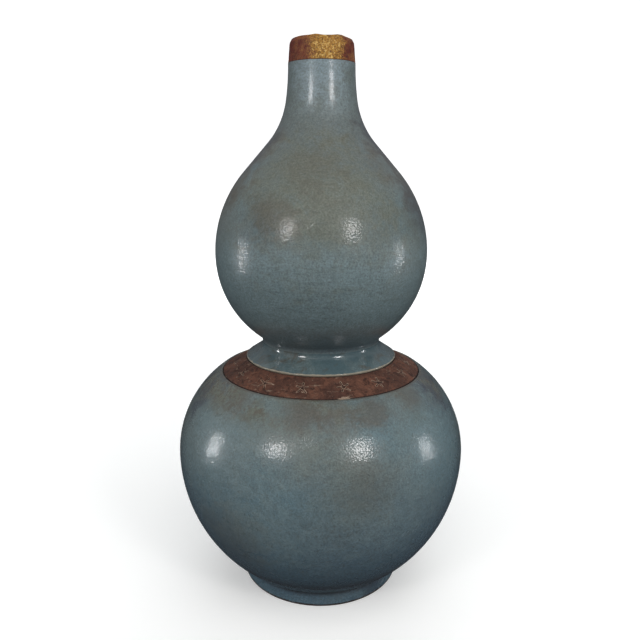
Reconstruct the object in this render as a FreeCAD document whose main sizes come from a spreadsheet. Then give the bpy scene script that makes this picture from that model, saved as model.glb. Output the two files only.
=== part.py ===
import FreeCAD, Part
import math
import os
import re
import Sketcher

# Double gourd vase in glazed stoneware, in millimetres and degrees.
# +Z is up, and the origin is the centre of the face that the foot rests on.
# Every piece is turned about Z, so an outline is a list of points (r, z) in the XZ plane.
# The sections are luted: each stands on a level ledge, and a lap or a spigot centres it.

sizes = {
    # Foot ring: upright wall, then a hollow round up into the bowl
    "foot_radius": 61.0,
    "foot_wall": 9.4,
    "foot_fillet": 4.5,
    "foot_width": 9.0,
    "foot_taper": 2.0,
    "foot_round": 1.6,
    "foot_register": 3.0,
    # Lower gourd: one arc below the widest girth, a tighter one above it
    "lower_radius": 108.5,
    "lower_bowl_arc": 113.4,
    "lower_dome_arc": 75.1,
    "floor_thickness": 9.0,
    "floor_round": 14.0,
    # Walls, and the laps and slip between sections
    "wall_thickness": 7.0,
    "lap_height": 4.0,
    "slip_gap": 0.2,
    # Unglazed band, laid in a channel of the lower shoulder below the glaze edges
    "band_share": 0.354,
    "band_thickness": 2.2,
    "glaze_step": 0.9,
    # Waist collar, whose edge stands out from the waist and a little above the dome
    "collar_reach": 12.4,
    "collar_lift": 1.5,
    "collar_slope": 33.6,
    "collar_seat": 4.2,
    "collar_spigot": 5.0,
    "collar_round": 4.0,
    "waist_radius": 44.0,
    "waist_fillet": 6.0,
    "waist_lap": 3.0,
    # Upper gourd, with a straight run between the dome and the neck
    "upper_radius": 77.1,
    "upper_bowl_arc": 74.1,
    "upper_dome_arc": 88.7,
    "dome_slope": 41.0,
    # Neck: two hollow arcs, the upper one nearly straight
    "neck_radius": 23.4,
    "neck_arc": 56.0,
    "throat_arc": 170.7,
    "flare_slope": 8.0,
    "neck_seat": 4.4,
    "neck_spigot": 4.0,
    "neck_spigot_wall": 4.0,
    "neck_inner_arc": 60.0,
    "bore_radius": 16.0,
    # Mouth cuff, folded over the ground-back lip on a bed of lacquer
    "cuff_height": 16.2,
    "cuff_lip_radius": 22.1,
    "cuff_thickness": 1.2,
    "cuff_skirt": 12.0,
    "cuff_round": 2.4,
    "bed_thickness": 0.6,
}

# Places that follow from the sizes. Where two arcs meet, they share a tangent.
worked = {
    "bowl_centre": "lower_radius - lower_bowl_arc",
    "foot_reach": "foot_radius + foot_fillet - bowl_centre",
    "lower_height": "foot_wall + sqrt((lower_bowl_arc + foot_fillet)^2 - foot_reach^2)",
    "foot_share": "foot_fillet / (lower_bowl_arc + foot_fillet)",
    "foot_top_radius": "foot_radius + foot_fillet - foot_reach * foot_share",
    "foot_top_height": "foot_wall + (lower_height - foot_wall) * foot_share",
    "foot_inner_radius": "foot_radius - foot_width",
    "foot_seat_radius": "foot_inner_radius - foot_taper",
    "base_height": "foot_top_height - foot_register",
    "floor_height": "base_height + floor_thickness",
    "bowl_inner_arc": "lower_bowl_arc - wall_thickness",
    "floor_radius": "bowl_centre + sqrt(bowl_inner_arc^2 - (lower_height - floor_height)^2)",
    "lower_inner_radius": "lower_radius - wall_thickness",
    "lower_lap_radius": "lower_radius - wall_thickness / 2",
    "dome_centre": "lower_radius - lower_dome_arc",
    "dome_inner_arc": "lower_dome_arc - wall_thickness",
    "collar_edge_radius": "waist_radius + collar_reach",
    "collar_edge_height": "lower_height + collar_lift"
                          " + sqrt(lower_dome_arc^2 - (collar_edge_radius - dome_centre)^2)",
    "band_run": "(lower_radius - collar_edge_radius) * band_share",
    "band_edge_radius": "collar_edge_radius + band_run",
    "band_edge_height": "lower_height + sqrt(lower_dome_arc^2 - (band_edge_radius - dome_centre)^2)",
    "band_rise": "collar_edge_height - band_edge_height",
    "band_width": "sqrt(band_run^2 + band_rise^2)",
    "band_cosine": "band_run / band_width",
    "band_sine": "band_rise / band_width",
    "channel_depth": "glaze_step + band_thickness",
    "ledge_radius": "collar_edge_radius - channel_depth * band_sine",
    "ledge_height": "collar_edge_height - channel_depth * band_cosine",
    "seat_radius": "ledge_radius - collar_seat",
    "seat_foot_height": "lower_height + sqrt(dome_inner_arc^2 - (seat_radius - dome_centre)^2)",
    "collar_root_radius": "waist_radius + waist_fillet * (1 - sin(collar_slope))",
    "collar_root_height": "collar_edge_height + (collar_edge_radius - collar_root_radius)"
                          " * tan(collar_slope)",
    "waist_height": "collar_root_height + waist_fillet * cos(collar_slope)",
    "waist_inner_radius": "waist_radius - wall_thickness",
    "waist_lap_radius": "waist_radius - wall_thickness / 2",
    "upper_bowl_centre": "upper_radius - upper_bowl_arc",
    "waist_reach": "waist_radius + waist_fillet - upper_bowl_centre",
    "upper_height": "waist_height + sqrt((upper_bowl_arc + waist_fillet)^2 - waist_reach^2)",
    "waist_share": "waist_fillet / (upper_bowl_arc + waist_fillet)",
    "root_radius": "waist_radius + waist_fillet - waist_reach * waist_share",
    "root_height": "waist_height + (upper_height - waist_height) * waist_share",
    "upper_inner_arc": "upper_bowl_arc - wall_thickness",
    "throat_foot_height": "upper_height - sqrt(upper_inner_arc^2"
                          " - (waist_inner_radius - upper_bowl_centre)^2)",
    "upper_inner_radius": "upper_radius - wall_thickness",
    "upper_lap_radius": "upper_radius - wall_thickness / 2",
    "upper_dome_centre": "upper_radius - upper_dome_arc",
    "upper_dome_inner": "upper_dome_arc - wall_thickness",
    "dome_end_radius": "upper_dome_centre + upper_dome_arc * cos(dome_slope)",
    "dome_end_height": "upper_height + upper_dome_arc * sin(dome_slope)",
    "neck_drop": "neck_arc * (cos(flare_slope) - cos(dome_slope)) + throat_arc * (1 - cos(flare_slope))",
    "slope_length": "(dome_end_radius - neck_radius - neck_drop) / sin(dome_slope)",
    "neck_root_radius": "dome_end_radius - slope_length * sin(dome_slope)",
    "neck_root_height": "dome_end_height + slope_length * cos(dome_slope)",
    "neck_seat_radius": "neck_root_radius - neck_seat",
    "neck_foot_radius": "neck_seat_radius - slip_gap - neck_spigot_wall",
    "neck_foot_height": "neck_root_height - neck_spigot",
    "flare_radius": "neck_root_radius - neck_arc * (cos(flare_slope) - cos(dome_slope))",
    "flare_height": "neck_root_height + neck_arc * (sin(dome_slope) - sin(flare_slope))",
    "cuff_foot_height": "flare_height + throat_arc * sin(flare_slope)",
    "bore_reach": "bore_radius + neck_inner_arc - neck_foot_radius",
    "bore_foot_height": "neck_foot_height + sqrt(neck_inner_arc^2 - bore_reach^2)",
    "mouth_height": "cuff_foot_height + cuff_height",
    "skirt_height": "mouth_height - cuff_skirt",
    "bed_height": "mouth_height - cuff_thickness",
    "lip_height": "bed_height - bed_thickness",
    "bed_throat_radius": "bore_radius + cuff_thickness",
    "lip_throat_radius": "bed_throat_radius + bed_thickness",
}

doc = FreeCAD.newDocument("double_gourd_vase")
sheet = doc.addObject("Spreadsheet::Sheet", "Sizes")
table = doc.addObject("Spreadsheet::Sheet", "Outlines")
pieces = []


def fill_sheet():
    """Names on the left, sizes beside them as numbers, and below them the worked places."""
    row = 1
    for alias, number in sizes.items():
        sheet.set(f"A{row}", alias)
        sheet.set(f"B{row}", str(number))
        sheet.setAlias(f"B{row}", alias)
        row += 1
    for alias, formula in worked.items():
        sheet.set(f"A{row}", alias)
        sheet.set(f"B{row}", "=" + formula)
        sheet.setAlias(f"B{row}", alias)
        row += 1
    doc.recompute()


def place(alias):
    return float(sheet.get(alias))


def bound(formula):
    """The formula with the sheet's name before each alias, as other objects write it."""
    return re.sub(r"[a-z]+(_[a-z]+)+", lambda found: "Sizes." + found.group(), formula)


def tabulate(name, points):
    """Writes an outline's points, and the radius of any arc that ends there, in the table."""
    row = int(table.get("A1")) if table.getContents("A1") else 2
    rows = []
    for number, point in enumerate(points, 1):
        aliases = []
        for column, formula, kind in zip("BCD", point[:3], ("across", "up", "arc")):
            alias = f"{name}_{kind}_{number}"
            table.set(f"{column}{row}", "=" + bound(formula))
            table.setAlias(f"{column}{row}", alias)
            aliases.append(alias)
        rows.append(aliases)
        row += 1
    table.set("A1", str(row))
    doc.recompute()
    return rows


def arc_between(start, end, radius, side):
    """An arc from start to end that bulges to the named side of the way it goes."""
    chord = end - start
    middle = (start + end) * 0.5
    sagitta_leg = math.sqrt(radius ** 2 - (chord.Length / 2) ** 2)
    right = FreeCAD.Vector(chord.y, -chord.x, 0).normalize()
    centre = middle + right * (sagitta_leg if side == "left" else -sagitta_leg)
    first, last = (end, start) if side == "left" else (start, end)
    angles = [math.atan2(p.y - centre.y, p.x - centre.x) for p in (first, last)]
    circle = Part.Circle(centre, FreeCAD.Vector(0, 0, 1), radius)
    return Part.ArcOfCircle(circle, angles[0], angles[1])


def draw_outline(body, name, points):
    """A closed sketch through the points (r, z), with an arc where a point names a radius
    and a side. Every coordinate and radius is bound to the table."""
    rows = tabulate(name, points)
    spots = [FreeCAD.Vector(float(table.get(row[0])), float(table.get(row[1])), 0) for row in rows]
    sketch = body.newObject("Sketcher::SketchObject", name + "_outline")
    plane = next(o for o in body.Origin.OriginFeatures if o.Role == "XZ_Plane")
    sketch.AttachmentSupport = (plane, [""])
    sketch.MapMode = "FlatFace"

    starts, ends = [], []
    for i, point in enumerate(points):
        before, after = spots[i - 1], spots[i]
        if len(point) > 2:
            radius = float(table.get(rows[i][2]))
            edge = sketch.addGeometry(arc_between(before, after, radius, point[3]), False)
            turned = point[3] == "left"
            starts.append((edge, 2 if turned else 1))
            ends.append((edge, 1 if turned else 2))
            mark = sketch.addConstraint(Sketcher.Constraint("Radius", edge, radius))
            sketch.setExpression(f"Constraints[{mark}]", "Outlines." + rows[i][2])
        else:
            edge = sketch.addGeometry(Part.LineSegment(before, after), False)
            starts.append((edge, 1))
            ends.append((edge, 2))
    for i, spot in enumerate(spots):
        after = (i + 1) % len(spots)
        sketch.addConstraint(Sketcher.Constraint("Coincident", *ends[i], *starts[after]))
        for kind, value, alias in (("DistanceX", spot.x, rows[i][0]), ("DistanceY", spot.y, rows[i][1])):
            mark = sketch.addConstraint(Sketcher.Constraint(kind, -1, 1, *ends[i], value))
            sketch.setExpression(f"Constraints[{mark}]", "Outlines." + alias)
    return sketch


def turn(name, points):
    """A piece turned about Z from its outline."""
    body = doc.addObject("PartDesign::Body", name)
    body.Label = name
    sketch = draw_outline(body, name, points)
    turned = body.newObject("PartDesign::Revolution", name + "_turned")
    turned.Profile = sketch
    turned.ReferenceAxis = (sketch, ["V_Axis"])
    turned.Angle = 360
    body.Placement = FreeCAD.Placement()
    doc.recompute()
    pieces.append(body)
    return body


def round_edges(body, radius_alias, corners):
    """Rounds the circular edges that pass through the corners (r, z), given as aliases."""
    base = body.Tip
    near = place("slip_gap") / 10
    names = []
    for corner in corners:
        radius, height = [float(table.get(alias)) for alias in corner]
        for number, edge in enumerate(base.Shape.Edges, 1):
            if isinstance(edge.Curve, Part.Circle):
                off = math.hypot(edge.Curve.Radius - radius, edge.Curve.Center.z - height)
                if off < near:
                    names.append(f"Edge{number}")
    rounded = body.newObject("PartDesign::Fillet", f"{body.Label}_{radius_alias}")
    rounded.Base = (base, names)
    rounded.setExpression("Radius", "Sizes." + radius_alias)
    doc.recompute()


def corner(name, number):
    return f"{name}_across_{number}", f"{name}_up_{number}"


def foot_ring():
    """Upright foot, hollow round at its root, inner face leaning in, rim rounded."""
    ring = turn("foot_ring", [
        ("foot_inner_radius", "0"),
        ("foot_radius", "0"),
        ("foot_radius", "foot_wall"),
        ("foot_top_radius", "foot_top_height", "foot_fillet", "left"),
        ("foot_seat_radius", "foot_top_height"),
    ])
    round_edges(ring, "foot_round", [corner("foot_ring", 1), corner("foot_ring", 2)])


def lower_bowl():
    """Floor with a boss that registers in the foot, swelling wall, and a lap on the rim."""
    bowl = turn("lower_bowl", [
        ("0", "base_height"),
        ("foot_seat_radius - slip_gap", "base_height"),
        ("foot_seat_radius - slip_gap", "foot_top_height"),
        ("foot_top_radius", "foot_top_height"),
        ("lower_radius", "lower_height", "lower_bowl_arc", "right"),
        ("lower_lap_radius - slip_gap", "lower_height"),
        ("lower_lap_radius - slip_gap", "lower_height + lap_height"),
        ("lower_inner_radius", "lower_height + lap_height"),
        ("lower_inner_radius", "lower_height"),
        ("floor_radius", "floor_height", "bowl_inner_arc", "left"),
        ("0", "floor_height"),
    ])
    round_edges(bowl, "floor_round", [corner("lower_bowl", 10)])


def lower_shoulder():
    """Dome over the bowl, with the band's channel and the seat of the waist collar."""
    lap_top = "lower_height + lap_height + slip_gap"
    turn("lower_shoulder", [
        ("lower_lap_radius", "lower_height"),
        ("lower_radius", "lower_height"),
        ("band_edge_radius", "band_edge_height", "lower_dome_arc", "right"),
        ("band_edge_radius - channel_depth * band_sine",
         "band_edge_height - channel_depth * band_cosine"),
        ("ledge_radius", "ledge_height"),
        ("seat_radius", "ledge_height"),
        ("seat_radius", "seat_foot_height"),
        ("dome_centre + sqrt(dome_inner_arc^2 - (lap_height + slip_gap)^2)", lap_top,
         "dome_inner_arc", "left"),
        ("lower_lap_radius", lap_top),
    ])


def shoulder_band():
    """Strip of brown clay on the channel's floor, below the glaze edges on both sides."""
    low_radius = "band_edge_radius - slip_gap * band_cosine"
    low_height = "band_edge_height + slip_gap * band_sine"
    high_radius = "collar_edge_radius + slip_gap * band_cosine"
    high_height = "collar_edge_height - slip_gap * band_sine"
    face = (" - glaze_step * band_sine", " - glaze_step * band_cosine")
    back = (" - channel_depth * band_sine", " - channel_depth * band_cosine")
    turn("shoulder_band", [
        (low_radius + back[0], low_height + back[1]),
        (low_radius + face[0], low_height + face[1]),
        (high_radius + face[0], high_height + face[1]),
        (high_radius + back[0], high_height + back[1]),
    ])


def waist_collar():
    """Ring on the shoulder's ledge: glaze edge, cone, and half of the waist's hollow."""
    collar = turn("waist_collar", [
        ("seat_radius - slip_gap", "ledge_height"),
        ("ledge_radius", "ledge_height"),
        ("collar_edge_radius", "collar_edge_height"),
        ("collar_root_radius", "collar_root_height"),
        ("waist_radius", "waist_height", "waist_fillet", "left"),
        ("waist_lap_radius - slip_gap", "waist_height"),
        ("waist_lap_radius - slip_gap", "waist_height + waist_lap"),
        ("waist_inner_radius", "waist_height + waist_lap"),
        ("waist_inner_radius", "ledge_height - collar_spigot"),
        ("seat_radius - slip_gap", "ledge_height - collar_spigot"),
    ])
    round_edges(collar, "collar_round", [corner("waist_collar", 9)])


def upper_bowl():
    """Lower half of the upper gourd, from the waist's hollow to its widest girth."""
    lap_top = "waist_height + waist_lap + slip_gap"
    turn("upper_bowl", [
        ("waist_lap_radius", "waist_height"),
        ("waist_radius", "waist_height"),
        ("root_radius", "root_height", "waist_fillet", "left"),
        ("upper_radius", "upper_height", "upper_bowl_arc", "right"),
        ("upper_lap_radius - slip_gap", "upper_height"),
        ("upper_lap_radius - slip_gap", "upper_height + lap_height"),
        ("upper_inner_radius", "upper_height + lap_height"),
        ("upper_inner_radius", "upper_height"),
        ("waist_inner_radius", "throat_foot_height", "upper_inner_arc", "left"),
        ("waist_inner_radius", lap_top),
        ("waist_lap_radius", lap_top),
    ])


def upper_shoulder():
    """Dome, then a straight run up to the ledge that carries the neck."""
    lap_top = "upper_height + lap_height + slip_gap"
    inner_root_radius = "neck_root_radius - wall_thickness * cos(dome_slope)"
    turn("upper_shoulder", [
        ("upper_lap_radius", "upper_height"),
        ("upper_radius", "upper_height"),
        ("dome_end_radius", "dome_end_height", "upper_dome_arc", "right"),
        ("neck_root_radius", "neck_root_height"),
        ("neck_seat_radius", "neck_root_height"),
        ("neck_seat_radius",
         "neck_root_height - wall_thickness * sin(dome_slope)"
         f" - (neck_seat_radius - ({inner_root_radius})) / tan(dome_slope)"),
        ("dome_end_radius - wall_thickness * cos(dome_slope)",
         "dome_end_height - wall_thickness * sin(dome_slope)"),
        ("upper_dome_centre + sqrt(upper_dome_inner^2 - (lap_height + slip_gap)^2)", lap_top,
         "upper_dome_inner", "left"),
        ("upper_lap_radius", lap_top),
    ])


def neck():
    """Drawn-in neck with a straight bore, its lip ground back all round for the cuff."""
    turn("neck", [
        ("neck_seat_radius - slip_gap", "neck_root_height"),
        ("neck_root_radius", "neck_root_height"),
        ("flare_radius", "flare_height", "neck_arc", "left"),
        ("neck_radius", "cuff_foot_height", "throat_arc", "left"),
        ("neck_radius - cuff_thickness - bed_thickness", "cuff_foot_height"),
        ("cuff_lip_radius - cuff_thickness - bed_thickness", "lip_height"),
        ("lip_throat_radius", "lip_height"),
        ("lip_throat_radius", "skirt_height"),
        ("bore_radius", "skirt_height"),
        ("bore_radius", "bore_foot_height"),
        ("neck_foot_radius", "neck_foot_height", "neck_inner_arc", "right"),
        ("neck_seat_radius - slip_gap", "neck_foot_height"),
    ])


def lacquer_bed():
    """Even layer of lacquer paste between the ground lip and the cuff."""
    turn("lacquer_bed", [
        ("neck_radius - cuff_thickness - bed_thickness", "cuff_foot_height"),
        ("neck_radius - cuff_thickness", "cuff_foot_height"),
        ("cuff_lip_radius - cuff_thickness", "bed_height"),
        ("bed_throat_radius", "bed_height"),
        ("bed_throat_radius", "skirt_height"),
        ("lip_throat_radius", "skirt_height"),
        ("lip_throat_radius", "lip_height"),
        ("cuff_lip_radius - cuff_thickness - bed_thickness", "lip_height"),
    ])


def mouth_cuff():
    """Metal cuff, flush with the neck at its foot and rolled over the lip into the bore."""
    cuff = turn("mouth_cuff", [
        ("neck_radius - cuff_thickness", "cuff_foot_height"),
        ("neck_radius", "cuff_foot_height"),
        ("cuff_lip_radius", "mouth_height"),
        ("bore_radius", "mouth_height"),
        ("bore_radius", "skirt_height"),
        ("bed_throat_radius", "skirt_height"),
        ("bed_throat_radius", "bed_height"),
        ("cuff_lip_radius - cuff_thickness", "bed_height"),
    ])
    round_edges(cuff, "cuff_round", [corner("mouth_cuff", 3), corner("mouth_cuff", 4)])


def check_pieces():
    """Stops if any object failed to build or any piece isn't one sound solid."""
    failed = [o.Label for o in doc.Objects if {"Invalid", "Error"} & set(o.State)]
    if failed:
        raise RuntimeError("not built: " + ", ".join(failed))
    for piece in pieces:
        shape = piece.Shape
        if shape.isNull() or not shape.isValid() or len(shape.Solids) != 1:
            raise RuntimeError("unsound solid: " + piece.Label)


def export_pieces():
    os.makedirs("parts", exist_ok=True)
    for piece in pieces:
        piece.Shape.exportStep(f"parts/{piece.Label}.step")
        print(f"{piece.Label}: {piece.Shape.Volume:.0f} mm3")


fill_sheet()
foot_ring()
lower_bowl()
lower_shoulder()
shoulder_band()
waist_collar()
upper_bowl()
upper_shoulder()
neck()
lacquer_bed()
mouth_cuff()
doc.recompute()
check_pieces()
export_pieces()
print(f"height {place('mouth_height'):.2f} mm, girth {2 * place('lower_radius'):.2f} mm")
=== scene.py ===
import bpy
import math
import numpy as np
from mathutils import Matrix, Vector


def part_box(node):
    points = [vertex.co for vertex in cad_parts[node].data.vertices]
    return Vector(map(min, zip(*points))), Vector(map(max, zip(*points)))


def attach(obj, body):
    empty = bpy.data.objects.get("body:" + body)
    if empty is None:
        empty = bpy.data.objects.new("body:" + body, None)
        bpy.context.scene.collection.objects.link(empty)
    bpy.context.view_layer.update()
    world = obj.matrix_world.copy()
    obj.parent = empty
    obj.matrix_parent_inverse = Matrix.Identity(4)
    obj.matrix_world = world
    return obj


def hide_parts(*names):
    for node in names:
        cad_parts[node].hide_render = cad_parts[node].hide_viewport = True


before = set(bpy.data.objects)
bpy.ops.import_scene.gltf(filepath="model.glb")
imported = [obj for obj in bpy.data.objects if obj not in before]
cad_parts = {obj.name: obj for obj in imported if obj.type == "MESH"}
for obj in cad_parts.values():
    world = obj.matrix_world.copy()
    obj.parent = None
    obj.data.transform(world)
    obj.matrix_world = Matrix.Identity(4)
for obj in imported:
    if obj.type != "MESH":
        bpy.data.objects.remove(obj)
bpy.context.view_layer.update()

from types import SimpleNamespace

mm = 0.001

# The vase's own form, in metres and degrees. Joint heights and widest girths come from the frame.
form = {
    "wall": 7.0 * mm,
    "slip": 0.2 * mm,              # gap at laps and spigots
    "lap": 4.0 * mm,
    "footFillet": 4.5 * mm,        # hollow round between foot and bowl
    "footWidth": 9.0 * mm,
    "footTaper": 2.0 * mm,
    "footRound": 1.6 * mm,
    "lowerBowlArc": 113.4 * mm,
    "lowerDomeArc": 75.1 * mm,
    "floorThickness": 9.0 * mm,
    "floorRound": 14.0 * mm,
    "bandShare": 0.354,            # of the way from the collar's edge out to the widest girth
    "bandThickness": 2.2 * mm,
    "glazeStep": 0.9 * mm,         # how far the glaze edges stand above the band
    "channelLip": 0.9 * mm,        # roll of glaze over the channel's lower edge
    "channelLipShares": (0.85, 1.15),  # where the roll starts, and its bend, of the lip
    "collarLift": 1.5 * mm,        # how far the collar's edge stands above the dome
    "collarLip": 0.35 * mm,        # roll of glaze over the collar's lower edge
    "collarLipShare": 1.1,         # its bend, of the lip
    "collarSlope": 33.6,
    "collarSeat": 4.2 * mm,
    "collarSpigot": 5.0 * mm,
    "collarRound": 4.0 * mm,
    "waistFillet": 6.0 * mm,
    "waistLap": 3.0 * mm,
    "upperBowlArc": 74.1 * mm,
    "upperDomeArc": 88.7 * mm,
    "domeSlope": 41.0,             # degrees from upright, where the dome runs out straight
    "neckArc": 56.0 * mm,
    "throatArc": 170.7 * mm,
    "flareSlope": 8.0,
    "neckSeat": 4.4 * mm,
    "neckSpigot": 4.0 * mm,
    "neckSpigotWall": 4.0 * mm,
    "neckInnerArc": 60.0 * mm,
    "boreRadius": 16.0 * mm,
    "cuffThickness": 1.2 * mm,
    "cuffLipRadius": 22.1 * mm,
    "cuffSkirt": 12.0 * mm,
    "cuffRound": 2.4 * mm,
    "bedThickness": 0.6 * mm,
}
f = SimpleNamespace(**form)

# Distance between the mesh's rows along each kind of surface
steps = {
    "collarLip": 0.12 * mm,
    "channelLip": 0.2 * mm,
    "cuffCorner": 0.25 * mm,
    "round": 0.3 * mm,
    "edge": 0.4 * mm,
    "channel": 0.5 * mm,
    "cone": 0.7 * mm,
    "wall": 0.8 * mm,
    "outside": 1.0 * mm,
    "recess": 1.5 * mm,
    "bore": 2.0 * mm,
    "base": 2.5 * mm,
    "inside": 3.0 * mm,
    "floor": 6.0 * mm,
}
steps = SimpleNamespace(**steps)

# How the thrown clay strays from true round. Everything strays inwards, inside the CAD box.
throwing = {
    "segments": 400,               # around
    "ovalShare": 0.0016,           # of the radius
    "ovalTurn": 0.7,               # radians
    "ringDepth": 0.03 * mm,        # throwing rings left by the fingers
    "ringPitch": 7.5 * mm,
    "ringWander": 1.3,             # radians that a ring runs ahead and behind
    "ringWanderRise": 40.0,        # radians per metre of height
    "swells": 7,                   # slow uneven swells
    "swellDepth": 0.22 * mm,
    "seed": 7,
    "sharpAngle": 38,              # degrees, from which an edge isn't smoothed
}
rad = math.radians


def top(node):
    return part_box(node)[1]


def foot(node):
    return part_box(node)[0]


# Measures

# Joint heights and radii from the frame, and the arc centres that follow from them.
def measure():
    m = SimpleNamespace()
    m.lowerHeight = foot("lower_shoulder").z
    m.lowerRadius = top("lower_bowl").x
    m.footTopHeight = top("foot_ring").z
    m.footTopRadius = top("foot_ring").x
    m.baseHeight = foot("lower_bowl").z
    m.ledgeHeight = top("lower_shoulder").z
    m.collarEdgeRadius = top("waist_collar").x
    m.waistHeight = foot("upper_bowl").z
    m.upperHeight = foot("upper_shoulder").z
    m.upperRadius = top("upper_bowl").x
    m.neckRootHeight = top("upper_shoulder").z
    m.neckRootRadius = top("neck").x
    m.cuffFootHeight = foot("mouth_cuff").z
    m.neckRadius = top("mouth_cuff").x
    m.mouthHeight = top("mouth_cuff").z
    m.bowlCentre = m.lowerRadius - f.lowerBowlArc
    m.domeCentre = m.lowerRadius - f.lowerDomeArc
    m.upperBowlCentre = m.upperRadius - f.upperBowlArc
    m.upperDomeCentre = m.upperRadius - f.upperDomeArc

    shareFoot = f.footFillet / (f.lowerBowlArc + f.footFillet)
    m.footWall = (m.footTopHeight - m.lowerHeight * shareFoot) / (1 - shareFoot)
    m.footRadius = ((m.footTopRadius - m.bowlCentre * shareFoot) / (1 - shareFoot)
                       - f.footFillet)

    def domeHeight(radius):
        return m.lowerHeight + math.sqrt(f.lowerDomeArc ** 2 - (radius - m.domeCentre) ** 2)

    run = (m.lowerRadius - m.collarEdgeRadius) * f.bandShare
    m.bandEdgeRadius = m.collarEdgeRadius + run
    m.bandEdgeHeight = domeHeight(m.bandEdgeRadius)
    m.collarEdgeHeight = domeHeight(m.collarEdgeRadius) + f.collarLift
    rise = m.collarEdgeHeight - m.bandEdgeHeight
    m.bandWidth = math.hypot(run, rise)
    m.domeHeight = domeHeight
    m.bandAlong = (-run / m.bandWidth, rise / m.bandWidth)
    m.bandOut = (rise / m.bandWidth, run / m.bandWidth)
    m.channel = f.glazeStep + f.bandThickness
    m.seatRadius = m.collarEdgeRadius - m.channel * m.bandOut[0] - f.collarSeat

    c = rad(f.collarSlope)
    m.collarRootHeight = m.waistHeight - f.waistFillet * math.cos(c)
    m.collarRootRadius = (m.collarEdgeRadius
                             - (m.collarRootHeight - m.collarEdgeHeight) / math.tan(c))
    m.waistRadius = m.collarRootRadius - f.waistFillet * (1 - math.sin(c))
    shareWaist = f.waistFillet / (f.upperBowlArc + f.waistFillet)
    hollowCentre = m.waistRadius + f.waistFillet
    m.rootRadius = hollowCentre - (hollowCentre - m.upperBowlCentre) * shareWaist
    m.rootHeight = m.waistHeight + (m.upperHeight - m.waistHeight) * shareWaist

    d, a = rad(f.domeSlope), rad(f.flareSlope)
    m.domeEndRadius = m.upperDomeCentre + f.upperDomeArc * math.cos(d)
    m.domeEndHeight = m.upperHeight + f.upperDomeArc * math.sin(d)
    m.flareRadius = m.neckRootRadius - f.neckArc * (math.cos(a) - math.cos(d))
    m.flareHeight = m.neckRootHeight + f.neckArc * (math.sin(d) - math.sin(a))
    return m


m = measure()
print("measured: waist", round(m.waistRadius, 4), "foot", round(m.footRadius, 4))


# Outlines: points (radius, height), in metres

# Adds a straight run to the outline, in steps because it has to bend with the clay.
def lineTo(points, radius, height, step):
    r0, z0 = points[-1]
    parts = max(1, math.ceil(math.hypot(radius - r0, height - z0) / step))
    for i in range(1, parts + 1):
        t = i / parts
        points.append((r0 + (radius - r0) * t, z0 + (height - z0) * t))


# Adds an arc that ends at (radius, height) and bulges to the named side of its way.
def arcTo(points, radius, height, bend, side, step):
    r0, z0 = points[-1]
    chordR, chordZ = radius - r0, height - z0
    chord = math.hypot(chordR, chordZ)
    leg = math.sqrt(max(bend ** 2 - chord ** 2 / 4, 0.0))
    turn = 1 if side == "left" else -1
    centreR = (r0 + radius) / 2 + turn * leg * chordZ / chord
    centreZ = (z0 + height) / 2 - turn * leg * chordR / chord
    start = math.atan2(z0 - centreZ, r0 - centreR)
    sweep = -turn * 2 * math.asin(min(1.0, chord / (2 * bend)))
    parts = max(2, math.ceil(abs(sweep) * bend / step))
    for i in range(1, parts + 1):
        angle = start + sweep * i / parts
        points.append((centreR + bend * math.cos(angle), centreZ + bend * math.sin(angle)))


def footOutline():
    inner = m.footRadius - f.footWidth
    r = f.footRound
    points = [(inner + r, 0.0)]
    lineTo(points, m.footRadius - r, 0.0, steps.outside)
    arcTo(points, m.footRadius, r, r, "right", steps.round)
    lineTo(points, m.footRadius, m.footWall, steps.wall)
    arcTo(points, m.footTopRadius, m.footTopHeight, f.footFillet, "left", steps.edge)
    points.append((inner - f.footTaper, m.footTopHeight))
    lineTo(points, inner, r, steps.recess)
    arcTo(points, inner + r, 0.0, r, "right", steps.round)
    return points[:-1]


def lowerBowlOutline():
    bossRadius = m.footRadius - f.footWidth - f.footTaper - f.slip
    lapRadius = m.lowerRadius - f.wall / 2 - f.slip
    lapTop = m.lowerHeight + f.lap
    innerArc = f.lowerBowlArc - f.wall
    floorHeight = m.baseHeight + f.floorThickness
    # The floor's round touches the floor and the inner arc
    roundHeight = floorHeight + f.floorRound
    reach = innerArc - f.floorRound
    roundCentre = m.bowlCentre + math.sqrt(reach ** 2 - (m.lowerHeight - roundHeight) ** 2)
    touchRadius = m.bowlCentre + (roundCentre - m.bowlCentre) * innerArc / reach
    touchHeight = m.lowerHeight + (roundHeight - m.lowerHeight) * innerArc / reach
    points = [(0.0, m.baseHeight)]
    lineTo(points, bossRadius, m.baseHeight, steps.base)
    lineTo(points, bossRadius, m.footTopHeight, steps.outside)
    points.append((m.footTopRadius, m.footTopHeight))
    arcTo(points, m.lowerRadius, m.lowerHeight, f.lowerBowlArc, "right", steps.outside)
    inner = m.lowerRadius - f.wall
    points += [(lapRadius, m.lowerHeight), (lapRadius, lapTop), (inner, lapTop), (inner, m.lowerHeight)]
    arcTo(points, touchRadius, touchHeight, innerArc, "left", steps.inside)
    arcTo(points, roundCentre, floorHeight, f.floorRound, "left", steps.inside)
    lineTo(points, 0.0, floorHeight, steps.floor)
    return points


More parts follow.
